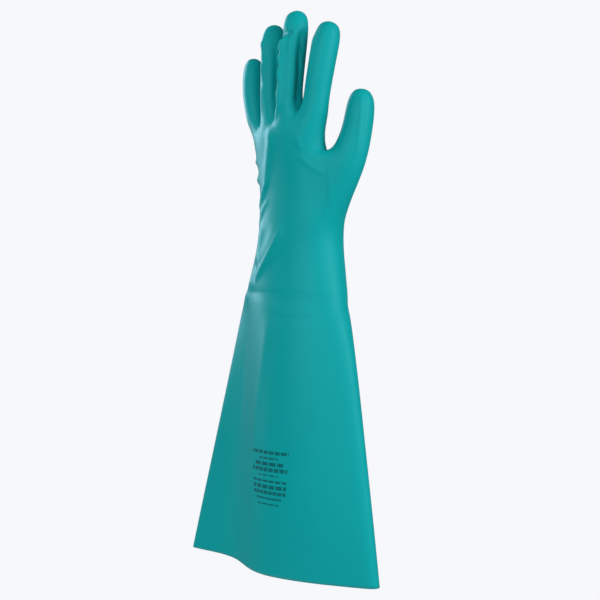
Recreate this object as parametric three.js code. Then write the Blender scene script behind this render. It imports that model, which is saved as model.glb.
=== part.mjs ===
// Long chemical-resistant glove for the left hand: one seamless dipped rubber shell, open at the cuff.
// Lengths are millimetres. +Z runs from the cuff's hem to the fingertips, +X points to the thumb side
// and -Y to the back of the hand. The origin is the middle of the cuff's mouth, in the plane of the hem.
//
// A coarse cage of quads is laid through a short table of sections, split into four fingers and a thumb,
// and smoothed once by Catmull-Clark subdivision. Folds are then pressed into the smooth skin, and
// a second skin, one wall further in, closes the shell at the hem.

import * as THREE from 'three';

// Gauntlet
const GAUNTLET_LENGTH = 284;   // hem to the narrowest place of the wrist
const CUFF_WIDTH = 206;        // across the cuff's mouth, between its two pressed side edges
const ARM_BULGE = 36;          // how far the forearm pushes each wall out from the line between the edges
const WRIST_WIDTH = 80;
const WRIST_DEPTH = 54;
const WRIST_SHIFT_X = 13;      // the wrist's middle against the cuff's middle
const WRIST_SHIFT_Y = 12;
const WALL = 1.0;
const ARM_SQUARE = 0.95;       // power of the oval: 1 is a plain ellipse, less is squarer

// Hand
const PALM_LENGTH = 88;        // wrist to the roots of the fingers
const PALM_WIDTH = 80;
const PALM_DEPTH = 37;
const PALM_SQUARE = 0.9;

// Fingers, each from its root to its tip
const INDEX_LENGTH = 76;
const MIDDLE_LENGTH = 90;
const RING_LENGTH = 83;
const LITTLE_LENGTH = 58;
const FINGER_WIDTH = 21;
const FINGER_DEPTH = 20;
const KNUCKLE_PITCH = 21;      // from one finger's middle to the next

// Thumb, from the middle of its root to its tip
const THUMB_LENGTH = 80;
const THUMB_WIDTH = 25;
const THUMB_DEPTH = 23;

// The cage: vertices round the hand, and round a finger
const RING = 20;
const HALF_RING = RING / 2;
const LOOP = 8;
const LOOP_SHRINK = 0.925;     // how much one subdivision draws a loop of eight together
const UP = new THREE.Vector3(0, 0, 1);

// Sections of the gauntlet. up: share of the gauntlet's length. narrow: from the cuff's width to the
// wrist's. bulge: share of the arm's bulge. round: 0 is the cuff's flattened section, 1 a plain oval.
// tilt: share of the pressed crease's tilt.
const GAUNTLET_SECTIONS = [
  { up: 0.00, narrow: 0.00, bulge: 0.86, round: 0.00, tilt: 0.0 },
  { up: 0.07, narrow: 0.06, bulge: 0.90, round: 0.00, tilt: 0.0 },
  { up: 0.20, narrow: 0.175, bulge: 0.95, round: 0.00, tilt: 0.0 },
  { up: 0.34, narrow: 0.305, bulge: 0.98, round: 0.03, tilt: 0.05 },
  { up: 0.48, narrow: 0.435, bulge: 0.98, round: 0.08, tilt: 0.15 },
  { up: 0.60, narrow: 0.555, bulge: 0.95, round: 0.18, tilt: 0.35 },
  { up: 0.70, narrow: 0.665, bulge: 0.91, round: 0.34, tilt: 0.7 },
  { up: 0.75, narrow: 0.735, bulge: 0.88, round: 0.50, tilt: 0.9 },
  { up: 0.79, narrow: 0.805, bulge: 0.86, round: 0.66, tilt: 0.9 },
  { up: 0.83, narrow: 0.855, bulge: 0.84, round: 0.80, tilt: 0.6 },
  { up: 0.875, narrow: 0.91, bulge: 0.82, round: 0.90, tilt: 0.3 },
  { up: 0.94, narrow: 0.98, bulge: 0.80, round: 0.97, tilt: 0.1 },
];
const CREASE_UP = 0.79;        // the crease pressed by packing, as a share of the gauntlet's length
const CREASE_TILT = 0.17;      // how much lower it runs for each millimetre to the thumb's side
const CREASE_DEPTH = 1.0;
const CREASE_WIDTH = 3.2;

// Folds that stand out of the skin. Each runs between two places on it. round: share of the way round,
// from the thumb's side over the back. up: share of the height of the fingers' roots.
const FOLDS = [
  { from: { round: 0.24, up: 0.745 }, to: { round: 0.42, up: 0.60 }, height: 2.4, width: 5.0 },
];
const FOLD_STEPS = 6;

// Sections of the hand. up: share of the palm's length, from the wrist. wide and deep: 0 is the wrist's
// size, 1 the palm's. right and front: the section's middle, as shares of the palm's width. turn: how
// far the thumb's side is turned to the back, in degrees. arch: how far the back is arched, in palm depths.
const HAND_SECTIONS = [
  { up: 0.00, wide: 0.00, deep: 0.00, right: 0.17, front: 0.14, turn: 3, arch: 0.00 },
  { up: 0.34, wide: 0.20, deep: 0.60, right: 0.145, front: 0.12, turn: 8, arch: 0.05 },
  { up: 0.66, wide: 0.50, deep: 1.00, right: 0.09, front: 0.055, turn: 12, arch: 0.10 },
  { up: 0.84, wide: 0.82, deep: 1.12, right: 0.09, front: 0.01, turn: 10, arch: 0.12 },
];

// The fingers, from the thumb's side. root_x: in pitches from the hand's middle. root_y: in finger depths.
// web_up: the web to the next finger against the roots' height, in finger depths. spread and spread_bend:
// sideways run, and back and curl: run to the palm's side, all in finger lengths at the tip.
const FINGERS = [
  { length: INDEX_LENGTH, thick: 1.10, root_x: 1.56, root_y: -0.15, web_up: 0.25, spread: 0.145,
    spread_bend: 0.00, back: 0.00, curl: 0.11 },
  { length: MIDDLE_LENGTH, thick: 1.05, root_x: 0.47, root_y: -0.33, web_up: -0.03, spread: 0.025,
    spread_bend: 0.00, back: 0.02, curl: 0.09 },
  { length: RING_LENGTH, thick: 1.00, root_x: -0.52, root_y: -0.18, web_up: -0.18, spread: -0.05,
    spread_bend: 0.00, back: 0.00, curl: 0.12 },
  { length: LITTLE_LENGTH, thick: 0.88, root_x: -1.52, root_y: 0.16, web_up: 0, spread: -0.23,
    spread_bend: 0.10, back: -0.18, curl: 0.26 },
];
const HAND_MIDDLE_X = 5;

// Loops of a finger. along: share of its length. size: share of its thickness.
const FINGER_LOOPS = [
  { along: 0.16, size: 0.96 },
  { along: 0.36, size: 0.99 },
  { along: 0.56, size: 1.00 },
  { along: 0.75, size: 1.00 },
  { along: 0.89, size: 0.92 },
  { along: 0.97, size: 0.64 },
];
const TIP_ALONG = 1.01;        // the cap's middle vertex stands out, because subdividing draws it in
const AHEAD = 0.05;            // how far on the middle line is read for its direction

// Loops of the thumb. out, front and up: where the loop's middle lies, in thumb lengths from its root.
// lean: how far the loop's axis leans out from upright, in degrees. wide and deep: shares of its thickness.
const THUMB_LOOPS = [
  { out: 0.18, front: 0.06, up: 0.22, lean: 46, wide: 1.42, deep: 1.00 },
  { out: 0.24, front: 0.10, up: 0.385, lean: 27, wide: 1.16, deep: 1.02 },
  { out: 0.278, front: 0.13, up: 0.57, lean: 17, wide: 1.02, deep: 1.00 },
  { out: 0.303, front: 0.145, up: 0.75, lean: 12, wide: 0.98, deep: 0.97 },
  { out: 0.32, front: 0.15, up: 0.89, lean: 8, wide: 0.87, deep: 0.88 },
  { out: 0.325, front: 0.15, up: 0.97, lean: 6, wide: 0.52, deep: 0.54 },
];
const THUMB_TIP = { out: 0.325, front: 0.15, up: 1.00 };
const THUMB_SIDE = new THREE.Vector3(1, 0.35, 0).normalize();

const cage = { points: [], faces: [] };

function addPoint(x, y, z) {
  cage.points.push(new THREE.Vector3(x, y, z));
  return cage.points.length - 1;
}

function smooth(from, to, value) {
  const share = THREE.MathUtils.clamp((value - from) / (to - from), 0, 1);
  return share * share * (3 - 2 * share);
}

// The cuff's section: a wall lies flat from the far edge, climbs over the arm and runs straight down
// to the near edge. Distances from the arm's middle are in arm bulges, minus to the far edge.
const CLIMB_FROM = -1.65;
const CLIMB_TO = 0.15;
const FALL_FROM = 0.5;
const STRAIGHT_FROM = 0.5;     // share of the way from there to the near edge
const BACK_FALL = 0.97;        // the back's wall reaches the near edge a little high
const PALM_FALL = 1.30;        // and the palm's wall meets its edge flat
const FLAT_CURL = 0.04;        // how much the flat stretch curls out on its way to the edge
const CUFF_COLUMNS = [1.0, 0.985, 0.82, 0.56, 0.28, 0.02, -0.20, -0.42, -0.66, -0.96];
const HAND_ANGLES = [0, 33, 49, 65, 81, 98, 114, 131, 148, 164];
const EDGE_GAP = 1.2;          // from a wall to the line between the edges, where it lies flat

function cuffBulge(x, halfWidth, fall) {
  const climb = smooth(CLIMB_FROM * ARM_BULGE, CLIMB_TO * ARM_BULGE, x);
  const start = FALL_FROM * ARM_BULGE;
  const way = Math.max((x - start) / (halfWidth - start), 0);
  const curved = Math.min(way, STRAIGHT_FROM);
  const straight = way - curved;
  const flat = Math.min(x / ARM_BULGE - CLIMB_FROM, 0);
  return climb * (1 - fall * (curved * curved + 2 * STRAIGHT_FROM * straight)) + FLAT_CURL * flat * flat;
}

// One ring of the gauntlet or hand. The palm's side of the cuff repeats the back turned half a turn.
function ringPoints(section) {
  const points = [];
  for (let column = 0; column < RING; column += 1) {
    const turned = column < HALF_RING ? 1 : -1;
    const side = CUFF_COLUMNS[column % HALF_RING];
    const atEdge = column % HALF_RING === 0;
    const reach = side * section.halfWidth;
    const fall = column < HALF_RING ? BACK_FALL : PALM_FALL;
    const lift = section.bulge * cuffBulge(reach, section.halfWidth, fall);
    const cuffX = turned * reach;
    const cuffY = -turned * (atEdge ? lift / 2 : lift + EDGE_GAP);
    const degrees = column < HALF_RING ? HAND_ANGLES[column] : 360 - (HAND_ANGLES[RING - column] ?? 180);
    const angle = THREE.MathUtils.degToRad(degrees);
    const ovalX = section.halfWidth * Math.sign(Math.cos(angle)) * Math.abs(Math.cos(angle)) ** section.square;
    const ovalY = -section.halfDepth * Math.sign(Math.sin(angle)) * Math.abs(Math.sin(angle)) ** section.square;
    const arched = ovalY + section.arch * (Math.cos(angle) ** 2 - 0.5);
    const point = new THREE.Vector3(
      THREE.MathUtils.lerp(cuffX, ovalX, section.round),
      THREE.MathUtils.lerp(cuffY, arched, section.round),
      0,
    );
    point.applyAxisAngle(UP, -THREE.MathUtils.degToRad(section.turn));
    const slope = -section.tilt * point.x;
    points.push(point.add(new THREE.Vector3(section.x, section.y, section.z + slope)));
  }
  return points;
}

function gauntletRing(row) {
  const width = THREE.MathUtils.lerp(CUFF_WIDTH, WRIST_WIDTH, row.narrow);
  return ringPoints({
    halfWidth: width / 2,
    halfDepth: WRIST_DEPTH / 2 + (1 - row.narrow) * (ARM_BULGE - WRIST_DEPTH / 2),
    bulge: row.bulge * ARM_BULGE,
    round: row.round,
    square: ARM_SQUARE,
    turn: 0,
    arch: 0,
    tilt: row.tilt * CREASE_TILT,
    x: row.up * WRIST_SHIFT_X,
    y: row.up * WRIST_SHIFT_Y,
    z: row.up * GAUNTLET_LENGTH,
  });
}

function handRing(row) {
  return ringPoints({
    halfWidth: THREE.MathUtils.lerp(WRIST_WIDTH, PALM_WIDTH, row.wide) / 2,
    halfDepth: THREE.MathUtils.lerp(WRIST_DEPTH, PALM_DEPTH, row.deep) / 2,
    bulge: 0,
    round: 1,
    square: PALM_SQUARE,
    turn: row.turn,
    arch: row.arch * PALM_DEPTH,
    tilt: 0,
    x: row.right * PALM_WIDTH,
    y: row.front * PALM_WIDTH,
    z: GAUNTLET_LENGTH + row.up * PALM_LENGTH,
  });
}

function joinRows(lower, upper, skip) {
  const count = lower.length;
  for (let column = 0; column < count; column += 1) {
    const next = (column + 1) % count;
    if (!skip(column)) {
      cage.faces.push([lower[column], upper[column], upper[next], lower[next]]);
    }
  }
}

function addRow(points) {
  return points.map((point) => addPoint(point.x, point.y, point.z));
}

// Roots of the fingers
const ROOT_HEIGHT = GAUNTLET_LENGTH + PALM_LENGTH;

function fingerRoot(finger) {
  return new THREE.Vector3(
    HAND_MIDDLE_X + finger.root_x * KNUCKLE_PITCH,
    finger.root_y * FINGER_DEPTH,
    ROOT_HEIGHT,
  );
}

// A finger's middle line: straight from the root, bending by the square of the way along.
function fingerMiddle(finger, along) {
  const bend = along * along;
  const run = finger.length;
  return fingerRoot(finger).add(new THREE.Vector3(
    run * (finger.spread * along + finger.spread_bend * bend),
    run * (finger.back * along + finger.curl * bend),
    run * along,
  ));
}

// Eight points round a middle line: thumb's side, back, little finger's side, palm's side.
function loopPoints(middle, direction, outward, halfWidth, halfDepth) {
  const across = outward.clone().addScaledVector(direction, -outward.dot(direction)).normalize();
  const back = across.clone().cross(direction);
  const points = [];
  for (let step = 0; step < LOOP; step += 1) {
    const angle = 2 * Math.PI * step / LOOP;
    points.push(middle.clone()
      .addScaledVector(across, halfWidth * Math.cos(angle) / LOOP_SHRINK)
      .addScaledVector(back, halfDepth * Math.sin(angle) / LOOP_SHRINK));
  }
  return points;
}

function closeTip(loop, tip) {
  for (let step = 0; step < LOOP; step += 2) {
    const corner = loop[step + 1];
    const next = loop[(step + 2) % LOOP];
    cage.faces.push([loop[step], tip, next, corner]);
  }
}

function addFinger(finger, rootLoop) {
  let loop = rootLoop;
  for (const row of FINGER_LOOPS) {
    const ahead = fingerMiddle(finger, row.along + AHEAD);
    const middle = fingerMiddle(finger, row.along);
    const direction = ahead.sub(middle).normalize();
    const size = finger.thick * row.size;
    const points = loopPoints(middle, direction, new THREE.Vector3(1, 0, 0),
      size * FINGER_WIDTH / 2, size * FINGER_DEPTH / 2);
    const next = addRow(points);
    joinRows(loop, next, () => false);
    loop = next;
  }
  const tip = fingerMiddle(finger, TIP_ALONG);
  closeTip(loop, addPoint(tip.x, tip.y, tip.z));
}

// The row at the fingers' roots, with one more vertex in each gap between two fingers
const WEB_DROP = 4;            // the web's middle, below the roots
const WEB_DROP_BACK = 7;
const WEB_DROP_PALM = 5;
const CORNER = 0.75;           // of a finger's half width and half depth

function rootRow() {
  const ring = [];
  const roots = FINGERS.map(fingerRoot);
  const half = FINGERS.map((finger) => ({
    wide: finger.thick * FINGER_WIDTH / 2 / LOOP_SHRINK,
    deep: finger.thick * FINGER_DEPTH / 2 / LOOP_SHRINK,
  }));
  const last = FINGERS.length - 1;
  const put = (finger, across, back) => new THREE.Vector3(
    roots[finger].x + across * half[finger].wide, roots[finger].y - back * half[finger].deep, roots[finger].z);
  const between = (finger, back, drop) => {
    const middle = roots[finger].clone().add(roots[finger + 1]).multiplyScalar(0.5);
    const deep = (half[finger].deep + half[finger + 1].deep) / 2;
    const rise = FINGERS[finger].web_up * FINGER_DEPTH - drop;
    return middle.add(new THREE.Vector3(0, -back * deep, rise));
  };
  ring[0] = put(0, 1, 0);
  ring[1] = put(0, CORNER, CORNER);
  ring[RING - 1] = put(0, CORNER, -CORNER);
  ring[HALF_RING - 1] = put(last, -CORNER, CORNER);
  ring[HALF_RING] = put(last, -1, 0);
  ring[HALF_RING + 1] = put(last, -CORNER, -CORNER);
  for (let finger = 0; finger < FINGERS.length; finger += 1) {
    const column = 2 + 2 * finger;
    ring[column] = put(finger, 0, 1);
    ring[RING - column] = put(finger, 0, -1);
  }
  const webs = [];
  for (let finger = 0; finger < last; finger += 1) {
    const column = 3 + 2 * finger;
    ring[column] = between(finger, CORNER, WEB_DROP_BACK);
    ring[RING - column] = between(finger, -CORNER, WEB_DROP_PALM);
    webs.push(between(finger, 0, WEB_DROP));
  }
  return { ring, webs };
}

function rootLoops(ring, webs) {
  return FINGERS.map((finger, place) => {
    const column = 1 + 2 * place;
    const near = place === 0 ? ring[0] : webs[place - 1];
    const far = place === FINGERS.length - 1 ? ring[HALF_RING] : webs[place];
    return [near, ring[column], ring[column + 1], ring[column + 2], far,
      ring[RING - column - 2], ring[RING - column - 1], ring[RING - column]];
  });
}

// Thumb
function addThumb(rows) {
  const last = RING - 1;
  const loopRoot = [rows[0][0], rows[0][1], rows[1][1], rows[2][1], rows[2][0],
    rows[2][last], rows[1][last], rows[0][last]];
  const root = new THREE.Vector3();
  for (const index of loopRoot) {
    root.add(cage.points[index]);
  }
  root.multiplyScalar(1 / LOOP);
  const place = (row) => root.clone().add(new THREE.Vector3(row.out, row.front, row.up)
    .multiplyScalar(THUMB_LENGTH));
  let loop = loopRoot;
  for (const row of THUMB_LOOPS) {
    const lean = THREE.MathUtils.degToRad(row.lean);
    const direction = UP.clone().multiplyScalar(Math.cos(lean)).addScaledVector(THUMB_SIDE, Math.sin(lean));
    const points = loopPoints(place(row), direction, THUMB_SIDE,
      row.wide * THUMB_WIDTH / 2, row.deep * THUMB_DEPTH / 2);
    const next = addRow(points);
    joinRows(loop, next, () => false);
    loop = next;
  }
  const tip = place(THUMB_TIP);
  closeTip(loop, addPoint(tip.x, tip.y, tip.z));
}

function buildCage() {
  const rows = GAUNTLET_SECTIONS.map((row) => addRow(gauntletRing(row)));
  const thumbFrom = rows.length;
  rows.push(...HAND_SECTIONS.map((row) => addRow(handRing(row))));
  const roots = rootRow();
  rows.push(addRow(roots.ring));
  const webs = addRow(roots.webs);
  for (let row = 0; row + 1 < rows.length; row += 1) {
    const atThumb = row === thumbFrom || row === thumbFrom + 1;
    joinRows(rows[row], rows[row + 1], (column) => atThumb && (column === 0 || column === RING - 1));
  }
  rootLoops(rows[rows.length - 1], webs).forEach((loop, place) => addFinger(FINGERS[place], loop));
  addThumb(rows.slice(thumbFrom, thumbFrom + 3));
  return rows;
}

// Catmull-Clark: each quad becomes four, round its middle
function edgeKey(a, b) {
  return a < b ? `${a}_${b}` : `${b}_${a}`;
}

function average(points) {
  const sum = new THREE.Vector3();
  for (const point of points) {
    sum.add(point);
  }
  return sum.multiplyScalar(1 / points.length);
}

function subdivide(mesh) {
  const facePoints = mesh.faces.map((face) => average(face.map((index) => mesh.points[index])));
  const edges = new Map();
  const touching = mesh.points.map(() => ({ faces: [], edges: [], rim: [] }));
  mesh.faces.forEach((face, faceIndex) => {
    face.forEach((start, corner) => {
      const end = face[(corner + 1) % face.length];
      const key = edgeKey(start, end);
      if (!edges.has(key)) {
        edges.set(key, { start, end, faces: [] });
      }
      edges.get(key).faces.push(faceIndex);
      touching[start].faces.push(faceIndex);
    });
  });
  for (const edge of edges.values()) {
    const middle = average([mesh.points[edge.start], mesh.points[edge.end]]);
    edge.middle = middle;
    for (const index of [edge.start, edge.end]) {
      touching[index].edges.push(middle);
      if (edge.faces.length === 1) {
        touching[index].rim.push(middle);
      }
    }
  }
  const points = mesh.points.map((point, index) => {
    const near = touching[index];
    if (near.rim.length > 0) {
      return average([point, average(near.rim)]);
    }
    const count = near.faces.length;
    const faceMiddle = average(near.faces.map((face) => facePoints[face]));
    const edgeMiddle = average(near.edges);
    return point.clone().multiplyScalar(count - 3).add(faceMiddle)
      .addScaledVector(edgeMiddle, 2).multiplyScalar(1 / count);
  });
  const faceStart = points.length;
  points.push(...facePoints);
  for (const edge of edges.values()) {
    edge.index = points.length;
    const joined = edge.faces.map((face) => facePoints[face]);
    points.push(joined.length === 1 ? edge.middle : average([average(joined), edge.middle]));
  }
  const faces = [];
  mesh.faces.forEach((face, faceIndex) => {
    face.forEach((index, corner) => {
      const before = face[(corner + face.length - 1) % face.length];
      const after = face[(corner + 1) % face.length];
      faces.push([index, edges.get(edgeKey(index, after)).index, faceStart + faceIndex,
        edges.get(edgeKey(before, index)).index]);
    });
  });
  return { points, faces };
}

function vertexNormals(mesh) {
  const normals = mesh.points.map(() => new THREE.Vector3());
  for (const face of mesh.faces) {
    const [a, b, c, d] = face.map((index) => mesh.points[index]);
    const normal = c.clone().sub(a).cross(d.clone().sub(b));
    for (const index of face) {
      normals[index].add(normal);
    }
  }
  return normals.map((normal) => normal.normalize());
}

// Folds. A place on the skin is found between the cage's rows and columns.
const bodyRows = buildCage();

function rowPoint(row, round) {
  const column = round * RING;
  const from = Math.floor(column);
  const start = cage.points[row[from % RING]];
  return start.clone().lerp(cage.points[row[(from + 1) % RING]], column - from);
}

function skinPoint(place) {
  const height = place.up * ROOT_HEIGHT;
  let lower = rowPoint(bodyRows[0], place.round);
  for (const row of bodyRows.slice(1)) {
    const upper = rowPoint(row, place.round);
    if (upper.z >= height) {
      return lower.lerp(upper, (height - lower.z) / (upper.z - lower.z));
    }
    lower = upper;
  }
  return lower;
}

function foldLine(fold) {
  const line = [];
  for (let step = 0; step <= FOLD_STEPS; step += 1) {
    const share = step / FOLD_STEPS;
    line.push(skinPoint({
      round: THREE.MathUtils.lerp(fold.from.round, fold.to.round, share),
      up: THREE.MathUtils.lerp(fold.from.up, fold.to.up, share),
    }));
  }
  return line;
}

function distanceToLine(point, line) {
  const nearest = new THREE.Vector3();
  let distance = Infinity;
  for (let step = 0; step + 1 < line.length; step += 1) {
    new THREE.Line3(line[step], line[step + 1]).closestPointToPoint(point, true, nearest);
    distance = Math.min(distance, nearest.distanceTo(point));
  }
  return distance;
}

function bell(distance, width) {
  return Math.exp(-((distance / width) ** 2));
}

function pressFolds(mesh) {
  const lines = FOLDS.map(foldLine);
  const directions = vertexNormals(mesh);
  const creaseHeight = CREASE_UP * (GAUNTLET_LENGTH + CREASE_TILT * WRIST_SHIFT_X);
  mesh.points.forEach((point, index) => {
    let lift = -CREASE_DEPTH * bell(point.z + CREASE_TILT * point.x - creaseHeight, CREASE_WIDTH);
    FOLDS.forEach((fold, place) => {
      lift += fold.height * bell(distanceToLine(point, lines[place]), fold.width);
    });
    point.addScaledVector(directions[index], lift);
  });
}

const outer = subdivide(cage);
pressFolds(outer);
const normals = vertexNormals(outer);

// The inner skin lies one wall further in. At the hem it stays in the hem's plane.
const HEM_PLANE = 1e-6;
const inner = outer.points.map((point, index) => {
  const normal = normals[index].clone();
  if (point.z < HEM_PLANE) {
    normal.z = 0;
    normal.normalize();
  }
  return point.clone().addScaledVector(normal, -WALL);
});

function shellGeometry() {
  const positions = [];
  const put = (point) => positions.push(point.x, point.y, point.z);
  const addFace = (a, b, c, d) => [a, b, c, a, c, d].forEach(put);
  const rim = new Map();
  for (const face of outer.faces) {
    const [a, b, c, d] = face;
    addFace(...[a, b, c, d].map((index) => outer.points[index]));
    addFace(...[a, d, c, b].map((index) => inner[index]));
    face.forEach((start, corner) => {
      const end = face[(corner + 1) % face.length];
      const key = edgeKey(start, end);
      rim.set(key, rim.has(key) ? null : [start, end]);
    });
  }
  for (const pair of rim.values()) {
    if (pair) {
      const [start, end] = pair;
      addFace(outer.points[end], outer.points[start], inner[start], inner[end]);
    }
  }
  const geometry = new THREE.BufferGeometry();
  geometry.setAttribute('position', new THREE.Float32BufferAttribute(positions, 3));
  geometry.computeVertexNormals();
  return geometry;
}

const rubber = new THREE.MeshStandardMaterial({ color: 0x0a9a9c, roughness: 0.5, metalness: 0 });
const shell = new THREE.Mesh(shellGeometry(), rubber);
shell.name = 'glove_shell';

const glove = new THREE.Group();
glove.add(shell);

export default glove;
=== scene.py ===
# %% [markdown]
# # A long chemical-resistant glove
# The glove is one seamless skin of nitrile rubber, made by dipping. It stands with its fingers up, so its
# wide cuff opens at the bottom. The part's frame gives its shape and size. This script dresses that shape:
# it refines the skin, adds the small folds of thin rubber, and gives it the satin finish of nitrile.

# %% Load the frame
import math

import bmesh
import bpy
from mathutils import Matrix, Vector
from mathutils.bvhtree import BVHTree
from mathutils.kdtree import KDTree


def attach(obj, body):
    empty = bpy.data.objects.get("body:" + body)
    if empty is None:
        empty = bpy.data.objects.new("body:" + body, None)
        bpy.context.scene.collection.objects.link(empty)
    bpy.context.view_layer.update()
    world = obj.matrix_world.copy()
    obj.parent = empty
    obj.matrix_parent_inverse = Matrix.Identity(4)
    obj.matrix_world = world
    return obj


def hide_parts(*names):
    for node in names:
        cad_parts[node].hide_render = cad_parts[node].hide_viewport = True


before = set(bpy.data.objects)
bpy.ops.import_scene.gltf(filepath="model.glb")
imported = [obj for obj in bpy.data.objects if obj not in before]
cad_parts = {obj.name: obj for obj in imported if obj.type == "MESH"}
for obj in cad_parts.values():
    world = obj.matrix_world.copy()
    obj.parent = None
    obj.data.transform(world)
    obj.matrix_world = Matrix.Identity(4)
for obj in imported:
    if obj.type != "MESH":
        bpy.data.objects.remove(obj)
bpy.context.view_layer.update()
MM = 0.001
cad_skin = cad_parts["glove_shell"]

# %% [markdown]
# The frame's mesh has two skins, one wall apart, joined at the hem. Folds are easier to raise on one skin,
# and a Solidify modifier gives the wall back afterwards, with an even thickness. So a copy of the mesh is
# merged, the faces in the hem's plane are deleted, and only the skin that holds the highest vertex stays.

# %% Keep the outer skin
MERGE = 0.01 * MM
HEM_HEIGHT = 0.01 * MM

skin = bmesh.new()
skin.from_mesh(cad_skin.data)
bmesh.ops.remove_doubles(skin, verts=skin.verts[:], dist=MERGE)
hem_faces = [face for face in skin.faces if all(vert.co.z < HEM_HEIGHT for vert in face.verts)]
bmesh.ops.delete(skin, geom=hem_faces, context="FACES_ONLY")
outer = {max(skin.verts, key=lambda vert: vert.co.z)}
to_visit = list(outer)
while to_visit:
    for edge in to_visit.pop().link_edges:
        for vert in edge.verts:
            if vert not in outer and edge.link_faces:
                outer.add(vert)
                to_visit.append(vert)
inner = [vert for vert in skin.verts if vert not in outer]
bmesh.ops.delete(skin, geom=inner, context="VERTS")
print("outer skin", len(skin.verts), "vertices", len(skin.faces), "triangles")

# %% [markdown]
# Each quad of the skin was cut along one diagonal. In this pattern every triangle has one vertex where only
# four edges meet, and the diagonal lies opposite it. Dissolving the edges that touch no such vertex brings
# the quads back, and subdivision then runs smoothly round the fingers.

# %% Bring the quads back
QUAD = 4                         # corners and sides of a quad
FEWEST_EDGES = 4                 # at a vertex of this skin

diagonals = [edge for edge in skin.edges
             if len(edge.link_faces) == 2
             and all(len(vert.link_edges) > FEWEST_EDGES for vert in edge.verts)]
bmesh.ops.dissolve_edges(skin, edges=diagonals, use_verts=False)
corners = [len(face.verts) for face in skin.faces]
print("faces", len(corners), "of which quads", corners.count(QUAD))

# %% [markdown]
# From the glove's wrist to its fingers, the rows of quads are taller than the folds that lie across them.
# Splitting whole rings of edges keeps every face a quad: from one upright edge, the ring goes on through the
# opposite edge of each quad.

# %% A ring of edges
def edge_ring(start):
    """The edges that a cut across the quads would meet, from one edge onwards both ways."""
    ring = {start}
    to_visit = [start]
    while to_visit:
        edge = to_visit.pop()
        for face in edge.link_faces:
            edges = list(face.edges)
            opposite = edges[(edges.index(edge) + QUAD // 2) % QUAD]
            if opposite not in ring:
                ring.add(opposite)
                to_visit.append(opposite)
    return ring


# %% Add rows above the wrist
ROWS_TO_SPLIT = (286, 370)       # from the wrist to the roots of the fingers, in mm
TALL = 7.0 * MM
UPRIGHT = 0.8                    # share of an edge's length that it must rise

tall = set()
for edge in skin.edges:
    heights = sorted(vert.co.z / MM for vert in edge.verts)
    upright = abs(edge.verts[0].co.z - edge.verts[1].co.z) > UPRIGHT * edge.calc_length()
    on_back = all(vert.co.y < 0 for vert in edge.verts)
    inside = heights[0] > ROWS_TO_SPLIT[0] and heights[1] < ROWS_TO_SPLIT[1]
    if upright and on_back and inside and edge.calc_length() > TALL and edge not in tall:
        tall |= edge_ring(edge)
split = [edge for edge in skin.edges if edge in tall]
bmesh.ops.subdivide_edges(skin, edges=split, cuts=1, use_grid_fill=True)
print("split", len(split), "edges; faces", len(skin.faces),
      "all quads", all(len(face.verts) == QUAD for face in skin.faces))

# %% [markdown]
# Subdivision rounds the coarse quads into a smooth skin. It is done by a modifier and then taken as a mesh,
# because the folds are raised vertex by vertex on the fine skin.

# %% Refine the skin
FINE_LEVELS = 2


def mesh_object(name, mesh):
    piece = bpy.data.objects.new(name, mesh)
    bpy.context.scene.collection.objects.link(piece)
    return piece


coarse = bpy.data.meshes.new("coarse_skin")
skin.to_mesh(coarse)
skin.free()
draft = mesh_object("coarse_skin", coarse)
rounding = draft.modifiers.new("round", "SUBSURF")
rounding.levels = rounding.render_levels = FINE_LEVELS
evaluated = draft.evaluated_get(bpy.context.evaluated_depsgraph_get())
fine = bpy.data.meshes.new_from_object(evaluated)
bpy.data.objects.remove(draft)
bpy.data.meshes.remove(coarse)
print("fine skin", len(fine.vertices), "vertices", len(fine.polygons), "quads")

# %% [markdown]
# Folds are drawn as short lines on the skin, the way one would mark them with a pen while looking at the
# glove. Most are marked from the camera's side, which is the back turned a little to the thumb. The creases
# of the palm are marked from in front of the palm, and the bumps below the little finger from that finger's
# side. A line's places are given across and up in millimetres as seen from there. A ray from that side
# finds where each lies on the rubber, and a place just past the glove's outline takes the nearest rubber.

# %% A way to mark places on the skin
SEEN_FROM = math.radians(38.4)   # round from the back of the glove to the thumb's side
FAR = 0.5                        # metres, well outside the glove

rightward = Vector((math.cos(SEEN_FROM), math.sin(SEEN_FROM), 0))
inward = Vector((-math.sin(SEEN_FROM), math.cos(SEEN_FROM), 0))
SIDES = {
    # the way across and the way in
    "back": (rightward, inward),
    "palm": (Vector((1, 0, 0)), Vector((0, -1, 0))),
    "little finger": (Vector((0, -1, 0)), Vector((1, 0, 0))),
}

fold_mesh = bmesh.new()
fold_mesh.from_mesh(fine)
fold_mesh.verts.ensure_lookup_table()
rubber_tree = BVHTree.FromBMesh(fold_mesh)


def mark(side, across, up):
    way_across, way_in = SIDES[side]
    start = way_across * across * MM + Vector((0, 0, up * MM)) - way_in * FAR
    place, _, _, _ = rubber_tree.ray_cast(start, way_in)
    if place is None:
        place, _, _, _ = rubber_tree.find_nearest(start + way_in * FAR)
        print(f"  past the outline at {across}, {up} from the {side}: on the nearest rubber")
    return place


print("places can be marked from", ", ".join(SIDES))

# %% [markdown]
# A fold bends, so its line is a smooth curve through the few places that were marked. A Catmull-Rom curve
# passes through every one of them.

# %% A smooth line through the places
CURVE_STEPS = 8


def smooth_line(places):
    ends = [places[0]] + places + [places[-1]]
    line = []
    for a, b, c, d in zip(ends, ends[1:], ends[2:], ends[3:]):
        for step in range(CURVE_STEPS):
            t = step / CURVE_STEPS
            line.append(0.5 * (2 * b + (c - a) * t + (2 * a - 5 * b + 4 * c - d) * t * t
                               + (3 * b - a - 3 * c + d) * t * t * t))
    return line + [places[-1]]


print("a line has", CURVE_STEPS, "steps between two places")

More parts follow.
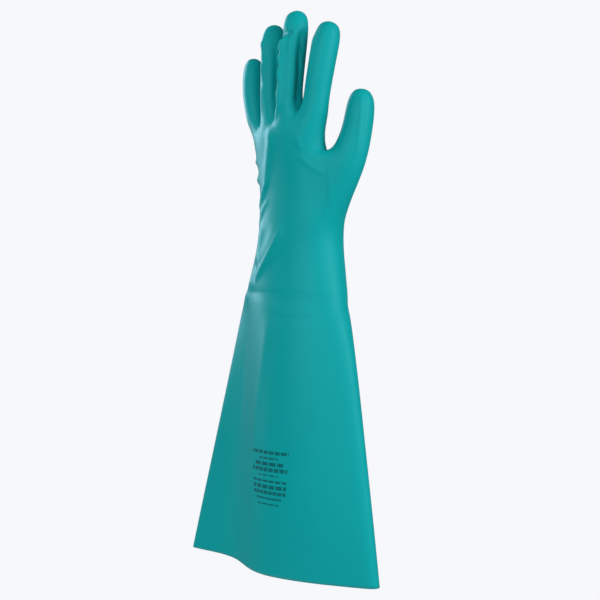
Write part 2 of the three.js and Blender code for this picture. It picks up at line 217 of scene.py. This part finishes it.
# %% [markdown]
# Thin rubber folds in ridges that stand out and creases that sink in. Each has a soft profile across its
# line and dies away at both ends, so a table needs only a row for each: its height, its width and the
# places of its line. This table goes over the glove's back: the fingers and the thumb first, then the
# knuckles, the wrist, the forearm and the cuff.

# %% Folds on the back
FOLDS = [
    # name, height and width in mm, then (across, up) places in mm
    ("index_swell", 0.8, 4.0, [(27.5, 432), (25.5, 418)]),
    ("index_tip_hollow", -1.5, 3.5, [(31.5, 448), (28.5, 440)]),
    ("index_line", 0.5, 1.5, [(28.5, 436), (25.5, 420), (23.5, 400)]),
    ("middle_swell", 1.4, 4.5, [(6.5, 455), (4.5, 448)]),
    ("middle_edge", 2.6, 2.4, [(4, 438), (2.2, 431), (1.8, 419), (1, 407), (0.4, 397), (-1, 382),
                               (-4, 370)]),
    ("middle_fold_1", 2.2, 1.8, [(3, 434), (2, 428)]),
    ("middle_fold_2", 1.9, 1.5, [(1.8, 421), (1.8, 416)]),
    ("middle_fold_3", 1.9, 1.6, [(1, 409), (0.8, 403)]),
    ("middle_fold_4", 1.1, 1.6, [(0, 393), (-0.4, 387)]),
    ("middle_joint", -2.6, 1.8, [(3, 443), (5, 440), (7.5, 439.5), (9, 442)]),
    ("middle_valley", -3.8, 4.9, [(18.7, 440), (17.9, 432), (17.4, 416), (16.6, 396), (14.2, 382)]),
    ("middle_line", 0.9, 1.3, [(16, 434), (17.8, 428), (19.4, 419), (19.8, 410)]),
    ("ring_swell", 2.5, 4.6, [(-9.5, 449), (-12.5, 441), (-13.5, 433)]),
    ("ring_low_swell", 0.5, 4.0, [(-14, 424), (-14.5, 412)]),
    ("ring_fold_1", 1.6, 1.6, [(-13.5, 437), (-13.5, 431), (-14.5, 424)]),
    ("ring_fold_2", 1.6, 1.6, [(-15, 419), (-14.6, 412), (-14, 405)]),
    ("ring_hollow", -1.4, 3.0, [(-4, 432), (-3, 418), (-3, 402), (-4, 386)]),
    ("ring_edge", 0.6, 1.6, [(-15.5, 398), (-16, 388), (-15.5, 378)]),
    ("thumb_ridge", 0.7, 1.8, [(65, 383), (64.5, 370), (63, 350), (61, 335)]),
    ("thumb_root_fold", 0.5, 2.0, [(18, 336), (26, 329), (34, 324)]),
    ("thumb_root_line", 0.5, 1.5, [(39, 327), (40, 312), (41, 299)]),
    ("knuckle_ridge", 1.6, 4.8, [(-8.5, 364), (-8.5, 352), (-10.5, 335), (-14, 312), (-16.5, 294)]),
    ("knuckle_glint", 0.6, 2.4, [(14, 352), (16, 346)]),
    ("upper_streak", 1.0, 2.0, [(-11, 320), (-14.5, 309), (-16.5, 300)]),
    ("second_streak", 0.9, 2.0, [(-11, 304), (-15, 295), (-17.5, 285)]),
    ("wrist_fold", 1.4, 2.7, [(1, 280), (-5, 268), (-12, 255), (-18, 245), (-21, 240)]),
    ("forearm_swell", 1.7, 6.0, [(-18.5, 280), (-20, 273), (-22.5, 264), (-24, 258)]),
    ("cuff_hollow", -1.7, 5.0, [(-25, 251), (-27, 242)]),
    ("crease_line_1", -0.2, 1.0, [(-28, 229), (-15, 228), (5, 228), (26, 226), (40, 224), (54, 220)]),
    ("crease_line_2", -0.4, 1.2, [(-5, 209), (8, 207), (30, 209), (52, 212)]),
    ("cuff_ridge", 1.1, 6.0, [(-10.6, 200), (-15.7, 163), (-19.9, 129), (-21.6, 99), (-24, 70)]),
    ("cuff_valley", -0.8, 5.5, [(-28, 206), (-31.5, 163), (-34, 129), (-36.5, 95), (-39, 70)]),
]
print("folds on the back", len(FOLDS))

# %% [markdown]
# Below the little finger the rubber is pushed into two bumps with a notch above each. Seen from the back
# they lie on the outline, where a line can't be placed well, so they are marked from their own side.

# %% Folds on the little finger's side
SIDE_FOLDS = [
    ("side_notch_1", -1.3, 1.8, [(-10, 349), (-4, 347), (0, 347)]),
    ("side_bump_1", 1.4, 2.2, [(-12, 337), (-5, 339), (0, 340)]),
    ("side_notch_2", -0.8, 1.8, [(-9, 330), (-3, 331), (0, 332)]),
    ("side_bump_2", 2.0, 2.4, [(-14, 320), (-6, 323), (-1, 326)]),
]
print("folds on the little finger's side", len(SIDE_FOLDS))

# %% [markdown]
# The palm is plain. It has the shallow creases where such a glove bends, at the thumb, across the palm, at
# the wrist and at one joint of the thumb and of three fingers, and a low pad at the thumb's root.

# %% Creases of the palm
PALM_CREASES = [
    ("thumb_crease", -0.9, 2.6, [(36, 345), (26, 334), (19, 318), (17, 300), (20, 286)]),
    ("upper_palm_crease", -0.7, 2.4, [(-20, 336), (-8, 342), (8, 350), (18, 360)]),
    ("lower_palm_crease", -0.6, 2.4, [(-18, 318), (-4, 330), (14, 338), (30, 346)]),
    ("thumb_pad", 0.9, 9.0, [(36, 322), (30, 306)]),
    ("wrist_crease_1", -0.6, 2.0, [(-8, 278), (4, 281), (18, 281), (34, 276)]),
    ("wrist_crease_2", -0.5, 2.2, [(-6, 270), (8, 272), (26, 270)]),
    ("index_joint_crease", -0.6, 1.6, [(36, 403), (45, 402)]),
    ("middle_joint_crease", -0.6, 1.6, [(9, 409), (20, 409)]),
    ("ring_joint_crease", -0.6, 1.6, [(-14, 405), (-4, 405)]),
    ("thumb_joint_crease", -0.6, 1.8, [(60, 357), (71, 360)]),
]
print("creases and pad of the palm", len(PALM_CREASES))

# %% [markdown]
# Every vertex near a line takes a share of the fold's height, by a bell curve of its distance, and moves
# along its own normal. Sculpting by hand would look the same, but a rule can be read and changed. Where two
# folds of one table meet, their heights add up.

# %% Raise the folds
REACH = 2.6                      # widths of a fold, past which its bell is as good as flat
FADE_POWER = 4                   # the higher, the closer to its ends a fold dies away


def fold_profile(point, line, at, width):
    """Bell of the distance from a point to the two stretches of the line that meet at one of its steps."""
    distance = (point - line[at]).length
    for other in (at - 1, at + 1):
        if 0 <= other < len(line):
            way = line[other] - line[at]
            if way.length_squared > 0:
                share = min(max((point - line[at]).dot(way) / way.length_squared, 0), 1)
                distance = min(distance, (point - line[at] - way * share).length)
    return math.exp(-(distance / width) ** 2)


def raise_folds(side, folds):
    normals = [vert.normal.copy() for vert in fold_mesh.verts]
    vertices = KDTree(len(fold_mesh.verts))
    for vert in fold_mesh.verts:
        vertices.insert(vert.co, vert.index)
    vertices.balance()
    lift = [0.0] * len(normals)
    for name, height, width, places in folds:
        line = smooth_line([mark(side, *place) for place in places])
        middle = (len(line) - 1) / 2
        shares = {}
        for at, step in enumerate(line):
            fade = 1 - (abs(at - middle) / (middle + 1)) ** FADE_POWER
            for _, index, _ in vertices.find_range(step, REACH * width * MM):
                share = fade * fold_profile(fold_mesh.verts[index].co, line, at, width * MM)
                shares[index] = max(shares.get(index, 0.0), share)
        for index, share in shares.items():
            lift[index] += height * MM * share
        print(f"{name}: {len(shares)} vertices, {height} mm")
    for vert, normal, height in zip(fold_mesh.verts, normals, lift):
        vert.co += normal * height


raise_folds("back", FOLDS)
raise_folds("little finger", SIDE_FOLDS)
raise_folds("palm", PALM_CREASES)

# %% [markdown]
# The finished skin gets its wall from a Solidify modifier. The wall goes inwards, so the outside keeps its
# size, and the faces are shaded smooth.

# %% Give the skin its wall
WALL = 0.9 * MM

for face in fold_mesh.faces:
    face.smooth = True
finished = bpy.data.meshes.new("glove_skin")
fold_mesh.to_mesh(finished)
fold_mesh.free()
bpy.data.meshes.remove(fine)
glove = mesh_object("glove_skin", finished)
wall = glove.modifiers.new("wall", "SOLIDIFY")
wall.thickness = WALL
wall.offset = -1                 # all of it inwards
wall.use_even_offset = False
wall.use_rim = True
triangles = 2 * 2 * len(finished.polygons)   # two sides of the wall, two triangles for each quad
print("glove", len(finished.polygons), "quads; with its wall about", triangles, "triangles")

# %% [markdown]
# Nitrile is dyed all through, so the inside has the outside's colour. The film that dipping leaves is a
# little cloudy, its gloss varies, and a fine waviness breaks up the reflections. Outside and inside share
# this film, so it is a node group that puts out a colour, a share of gloss and a height.

# %% The rubber's film
RUBBER = (0.0008, 0.365, 0.380, 1)
RUBBER_DEEP = (0.0006, 0.335, 0.350, 1)
CLOUDS = (18, 3)                 # blotches to the metre, then the noise's detail
GLOSS_PATCHES = (60, 4)
WAVES = (220, 3)

film = bpy.data.node_groups.new("nitrile_film", "ShaderNodeTree")
film.interface.new_socket("Color", in_out="OUTPUT", socket_type="NodeSocketColor")
film.interface.new_socket("Gloss", in_out="OUTPUT", socket_type="NodeSocketFloat")
film.interface.new_socket("Height", in_out="OUTPUT", socket_type="NodeSocketFloat")
film_out = film.nodes.new("NodeGroupOutput")
film_place = film.nodes.new("ShaderNodeTexCoord")


def film_noise(scale, detail):
    node = film.nodes.new("ShaderNodeTexNoise")
    node.inputs["Scale"].default_value = scale
    node.inputs["Detail"].default_value = detail
    film.links.new(film_place.outputs["Object"], node.inputs["Vector"])
    return node.outputs["Fac"]


cloudy = film.nodes.new("ShaderNodeMix")
cloudy.data_type = "RGBA"
cloudy.inputs["A"].default_value = RUBBER
cloudy.inputs["B"].default_value = RUBBER_DEEP
film.links.new(film_noise(*CLOUDS), cloudy.inputs["Factor"])
film.links.new(cloudy.outputs["Result"], film_out.inputs["Color"])
film.links.new(film_noise(*GLOSS_PATCHES), film_out.inputs["Gloss"])
film.links.new(film_noise(*WAVES), film_out.inputs["Height"])
print("film: clouds, gloss and waves at", CLOUDS[0], GLOSS_PATCHES[0], WAVES[0], "to the metre")

# %% [markdown]
# The cuff of such a glove is printed with a small block of dark ink on its back. Here the block is generic:
# rows of plain dashes and nothing to read. It could be modelled as flat pieces, but ink has no thickness,
# so it is a mask in the material. The height over the block's middle is counted in rows.

# %% The rows of the print
PRINT_MIDDLE = (12.5, 78.5)      # across the row and up, in mm
PRINT_SIZE = (46.0, 46.0)        # width and height, in mm
ROW = 4.6 * MM

ink = bpy.data.node_groups.new("print_dashes", "ShaderNodeTree")
ink.interface.new_socket("Mask", in_out="OUTPUT", socket_type="NodeSocketFloat")
ink_out = ink.nodes.new("NodeGroupOutput")
ink_place = ink.nodes.new("ShaderNodeTexCoord")
axes = ink.nodes.new("ShaderNodeSeparateXYZ")
ink.links.new(ink_place.outputs["Object"], axes.inputs["Vector"])


def ink_math(operation, *values):
    node = ink.nodes.new("ShaderNodeMath")
    node.operation = operation
    for socket, value in zip(node.inputs, values):
        if isinstance(value, (int, float)):
            socket.default_value = value
        else:
            ink.links.new(value, socket)
    return node.outputs["Value"]


across = ink_math("SUBTRACT", axes.outputs["X"], PRINT_MIDDLE[0] * MM)
up = ink_math("SUBTRACT", axes.outputs["Z"], PRINT_MIDDLE[1] * MM)
rows_up = ink_math("DIVIDE", up, ROW)
row_number = ink_math("FLOOR", rows_up)
from_row_middle = ink_math("ABSOLUTE", ink_math("SUBTRACT", ink_math("FRACT", rows_up), 0.5))
print("print block", PRINT_SIZE, "mm in rows of", round(ROW / MM, 1), "mm")

# %% [markdown]
# White noise of the row's number gives a value that is the same all along a row. With three seeds, each row
# has its own length, its own thickness and its own size of dash. The dashes are cut off at the block's
# edges, and the mask stops at the glove's back, so that the palm's side stays plain.

# %% The dashes of the print
DASH = (3.5 * MM, 9.0 * MM)      # shortest and longest, with its gap
DASH_GAP = 0.18                  # share of a dash
THICKNESS = (0.12, 0.34)         # half a dash's height, as a share of its row
LENGTH = (0.35, 1.0)             # of half the block's width
DASH_SEED = 11.7
THICKNESS_SEED = 2.3
LENGTH_SEED = 5.1


def row_value(lowest, highest, seed):
    node = ink.nodes.new("ShaderNodeTexWhiteNoise")
    node.noise_dimensions = "1D"
    ink.links.new(ink_math("ADD", row_number, seed), node.inputs["W"])
    return ink_math("MULTIPLY_ADD", node.outputs["Value"], highest - lowest, lowest)


thin = ink_math("LESS_THAN", from_row_middle, row_value(*THICKNESS, THICKNESS_SEED))
along_dash = ink_math("FRACT", ink_math("DIVIDE", across, row_value(*DASH, DASH_SEED)))
cut = ink_math("GREATER_THAN", along_dash, DASH_GAP)
half_length = ink_math("MULTIPLY", row_value(*LENGTH, LENGTH_SEED), PRINT_SIZE[0] / 2 * MM)
short = ink_math("LESS_THAN", ink_math("ABSOLUTE", across), half_length)
in_block = ink_math("LESS_THAN", ink_math("ABSOLUTE", up), PRINT_SIZE[1] / 2 * MM)
on_the_back = ink_math("LESS_THAN", axes.outputs["Y"], 0)
mask = thin
for other in (cut, short, in_block, on_the_back):
    mask = ink_math("MULTIPLY", mask, other)
ink.links.new(mask, ink_out.inputs["Mask"])
print("dashes from", round(DASH[0] / MM, 1), "to", round(DASH[1] / MM, 1), "mm")

# %% [markdown]
# The outside is satin: it mirrors only bright strips of light, softly. Its ink sinks into the film, so it
# changes the colour and not the shape. The inside is the same film, duller and without ink. One function
# makes both, and the shader stays in the material, with the film's and the ink's groups in front of it.

# %% A nitrile material
REFRACTION = 1.5                 # index of refraction of rubber
SPECULAR_LEVEL = 0.24
WAVE_STRENGTH = 0.12
WAVE_HEIGHT = 0.6 * MM
INK = (0.003, 0.080, 0.088, 1)
INK_COVER = 0.8


def nitrile(name, roughness, with_print):
    material = bpy.data.materials.new(name)
    material.use_nodes = True
    nodes, links = material.node_tree.nodes, material.node_tree.links
    shader = nodes["Principled BSDF"]
    shader.inputs["IOR"].default_value = REFRACTION
    shader.inputs["Specular IOR Level"].default_value = SPECULAR_LEVEL
    skin_film = nodes.new("ShaderNodeGroup")
    skin_film.node_tree = film
    colour = skin_film.outputs["Color"]
    if with_print:
        colour = inked(nodes, links, colour)
    links.new(colour, shader.inputs["Base Color"])
    gloss = nodes.new("ShaderNodeMapRange")
    gloss.inputs["To Min"].default_value = roughness[0]
    gloss.inputs["To Max"].default_value = roughness[1]
    links.new(skin_film.outputs["Gloss"], gloss.inputs["Value"])
    links.new(gloss.outputs["Result"], shader.inputs["Roughness"])
    waves = nodes.new("ShaderNodeBump")
    waves.inputs["Strength"].default_value = WAVE_STRENGTH
    waves.inputs["Distance"].default_value = WAVE_HEIGHT
    links.new(skin_film.outputs["Height"], waves.inputs["Height"])
    links.new(waves.outputs["Normal"], shader.inputs["Normal"])
    return material


def inked(nodes, links, colour):
    """The colour with the print over it."""
    dashes = nodes.new("ShaderNodeGroup")
    dashes.node_tree = ink
    cover = nodes.new("ShaderNodeMath")
    cover.operation = "MULTIPLY"
    links.new(dashes.outputs["Mask"], cover.inputs[0])
    cover.inputs[1].default_value = INK_COVER
    printed = nodes.new("ShaderNodeMix")
    printed.data_type = "RGBA"
    links.new(cover.outputs["Value"], printed.inputs["Factor"])
    links.new(colour, printed.inputs["A"])
    printed.inputs["B"].default_value = INK
    return printed.outputs["Result"]


# %% [markdown]
# The Solidify modifier can give the wall's inner side and the cut hem the next material in the piece's list,
# so the outside comes first. The skin then rides on the frame's root body, and the CAD part that it
# stands for is hidden.

# %% Outside and inside
OUTSIDE_ROUGHNESS = (0.40, 0.48)
INSIDE_ROUGHNESS = (0.55, 0.65)

finished.materials.clear()
finished.materials.append(nitrile("satin_nitrile", OUTSIDE_ROUGHNESS, True))
finished.materials.append(nitrile("inside_nitrile", INSIDE_ROUGHNESS, False))
wall.material_offset = 1
wall.material_offset_rim = 1

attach(glove, "root")
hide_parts("glove_shell")
print("materials", [material.name for material in finished.materials])

# %% [markdown]
# The studio is plain. A pale floor lies well below the cuff and fades out at its edge, so no horizon cuts
# through the picture. From below it is clear, so the open cuff can be looked into.

# %% The floor
FLOOR_HEIGHT = -0.30             # metres, as all sizes of the studio
FLOOR_RADIUS = 1.0
FLOOR_SIDES = 96
FLOOR_FADE = (0.3, 0.88)         # from the middle of the cuff's mouth: where it starts and where it ends
FLOOR_PAINT = (0.6, 0.605, 0.62, 1)
FLOOR_ROUGHNESS = 0.9
FLOOR_GLOW = 0.3
PALE = (0.93, 0.938, 0.965, 1)

ground = bmesh.new()
bmesh.ops.create_circle(ground, cap_ends=True, segments=FLOOR_SIDES, radius=FLOOR_RADIUS)
bmesh.ops.translate(ground, verts=ground.verts[:], vec=(0, 0, FLOOR_HEIGHT))
floor_mesh = bpy.data.meshes.new("floor")
ground.to_mesh(floor_mesh)
ground.free()
floor = mesh_object("floor", floor_mesh)

paint = bpy.data.materials.new("pale_floor")
paint.use_nodes = True
paint_nodes, paint_links = paint.node_tree.nodes, paint.node_tree.links
surface = paint_nodes["Principled BSDF"]
surface.inputs["Base Color"].default_value = FLOOR_PAINT
surface.inputs["Roughness"].default_value = FLOOR_ROUGHNESS
surface.inputs["Emission Color"].default_value = PALE
surface.inputs["Emission Strength"].default_value = FLOOR_GLOW
spot = paint_nodes.new("ShaderNodeTexCoord")
from_cuff = paint_nodes.new("ShaderNodeVectorMath")
from_cuff.operation = "LENGTH"
paint_links.new(spot.outputs["Object"], from_cuff.inputs[0])
fade = paint_nodes.new("ShaderNodeMapRange")
fade.interpolation_type = "SMOOTHSTEP"
fade.inputs["From Min"].default_value = FLOOR_FADE[0]
fade.inputs["From Max"].default_value = FLOOR_FADE[1]
fade.inputs["To Min"].default_value = 1
fade.inputs["To Max"].default_value = 0
paint_links.new(from_cuff.outputs["Value"], fade.inputs["Value"])
turned = paint_nodes.new("ShaderNodeNewGeometry")
from_above = paint_nodes.new("ShaderNodeMath")
from_above.operation = "SUBTRACT"
from_above.use_clamp = True
paint_links.new(fade.outputs["Result"], from_above.inputs[0])
paint_links.new(turned.outputs["Backfacing"], from_above.inputs[1])
paint_links.new(from_above.outputs["Value"], surface.inputs["Alpha"])
floor_mesh.materials.append(paint)
print("floor at", FLOOR_HEIGHT, "m, gone at", FLOOR_FADE[1], "m from the cuff's mouth")

# %% [markdown]
# The surroundings look pale to the camera but light the glove only a little, because a bright world would
# wash out the shade between the fingers. So a Light Path node chooses between two backgrounds.

# %% The surroundings
FILL_COLOUR = (0.96, 0.98, 1, 1)
FILL_STRENGTH = 0.09

world = bpy.data.worlds.new("studio")
bpy.context.scene.world = world
world.use_nodes = True
world_nodes, world_links = world.node_tree.nodes, world.node_tree.links
seen = world_nodes["Background"]
seen.inputs["Color"].default_value = PALE
fill = world_nodes.new("ShaderNodeBackground")
fill.inputs["Color"].default_value = FILL_COLOUR
fill.inputs["Strength"].default_value = FILL_STRENGTH
path = world_nodes.new("ShaderNodeLightPath")
choice = world_nodes.new("ShaderNodeMixShader")
world_links.new(path.outputs["Is Camera Ray"], choice.inputs["Fac"])
world_links.new(fill.outputs["Background"], choice.inputs[1])
world_links.new(seen.outputs["Background"], choice.inputs[2])
world_links.new(choice.outputs["Shader"], world_nodes["World Output"].inputs["Surface"])
bpy.context.scene.view_settings.view_transform = "Standard"
print("surroundings light with strength", FILL_STRENGTH)

# %% [markdown]
# Satin rubber shows two things: a broad, even light on its faces, and pale glints where it turns away. They
# are set apart here. The softboxes light the glove and aren't mirrored, and the bluish strips are mirrored
# along the folds and the left edge and light nothing. No lamp is seen by the camera.

# %% Lights
AIM = Vector((0, 0, 0.24))       # the glove's middle
STRIP_COLOUR = (0.55, 0.8, 1)
SOFTBOXES = [
    # name; across, towards the camera and up, in m; width and height in m; watts
    ("right_softbox", 1.55, 0.9, 0.75, 1.1, 1.4, 26),
    ("right_front_softbox", 1.1, 1.6, 0.9, 1.4, 1.4, 6.5),
    ("left_front_softbox", -0.65, 1.8, 0.9, 1.2, 1.4, 12),
    ("front_softbox", -1.2, 1.4, 0.9, 1.2, 1.4, 12),
    ("left_softbox", -1.35, -0.25, 0.45, 0.6, 1.5, 4),
    ("back_softbox", 0.6, -1.7, 0.9, 1.2, 1.4, 24),
]
STRIPS = [
    ("left_rim_strip", -1.14, -0.80, 0.85, 0.4, 1.1, 15.5),
    ("far_rim_strip", -0.94, -1.04, 0.85, 0.4, 1.1, 7),
    ("right_rim_strip", 1.3, 0.75, 0.85, 0.3, 0.8, 3),
]


def area_light(name, across, towards_camera, up, width, height, watts):
    data = bpy.data.lights.new(name, "AREA")
    data.shape = "RECTANGLE"
    data.size = width
    data.size_y = height
    data.energy = watts
    lamp = bpy.data.objects.new(name, data)
    bpy.context.scene.collection.objects.link(lamp)
    lamp.location = rightward * across - inward * towards_camera + Vector((0, 0, up))
    lamp.rotation_mode = "QUATERNION"
    lamp.rotation_quaternion = (AIM - lamp.location).to_track_quat("-Z", "Y")
    lamp.visible_camera = False
    return lamp


for softbox in SOFTBOXES:
    area_light(*softbox).visible_glossy = False
for strip in STRIPS:
    lamp = area_light(*strip)
    lamp.visible_diffuse = False
    lamp.data.color = STRIP_COLOUR
print("lamps", len(SOFTBOXES), "softboxes and", len(STRIPS), "strips")

# %% [markdown]
# The camera stands level with the middle of the gauntlet, turned to the thumb's side of the glove's back. A
# longer lens from further off would show the cuff and the fingers with less perspective.

# %% Camera
LENS = 60                        # mm
SENSOR = 36                      # mm
CAMERA_ACROSS = 0.0164
CAMERA_DISTANCE = 0.837
CAMERA_HEIGHT = 0.222

lens = bpy.data.cameras.new("camera")
lens.sensor_width = SENSOR
lens.lens = LENS
camera = bpy.data.objects.new("camera", lens)
bpy.context.scene.collection.objects.link(camera)
camera.location = rightward * CAMERA_ACROSS - inward * CAMERA_DISTANCE + Vector((0, 0, CAMERA_HEIGHT))
camera.rotation_euler = (math.radians(90), 0, SEEN_FROM)   # level, and from where the back was marked
bpy.context.scene.camera = camera
print("camera", CAMERA_DISTANCE, "m away, lens", LENS, "mm")
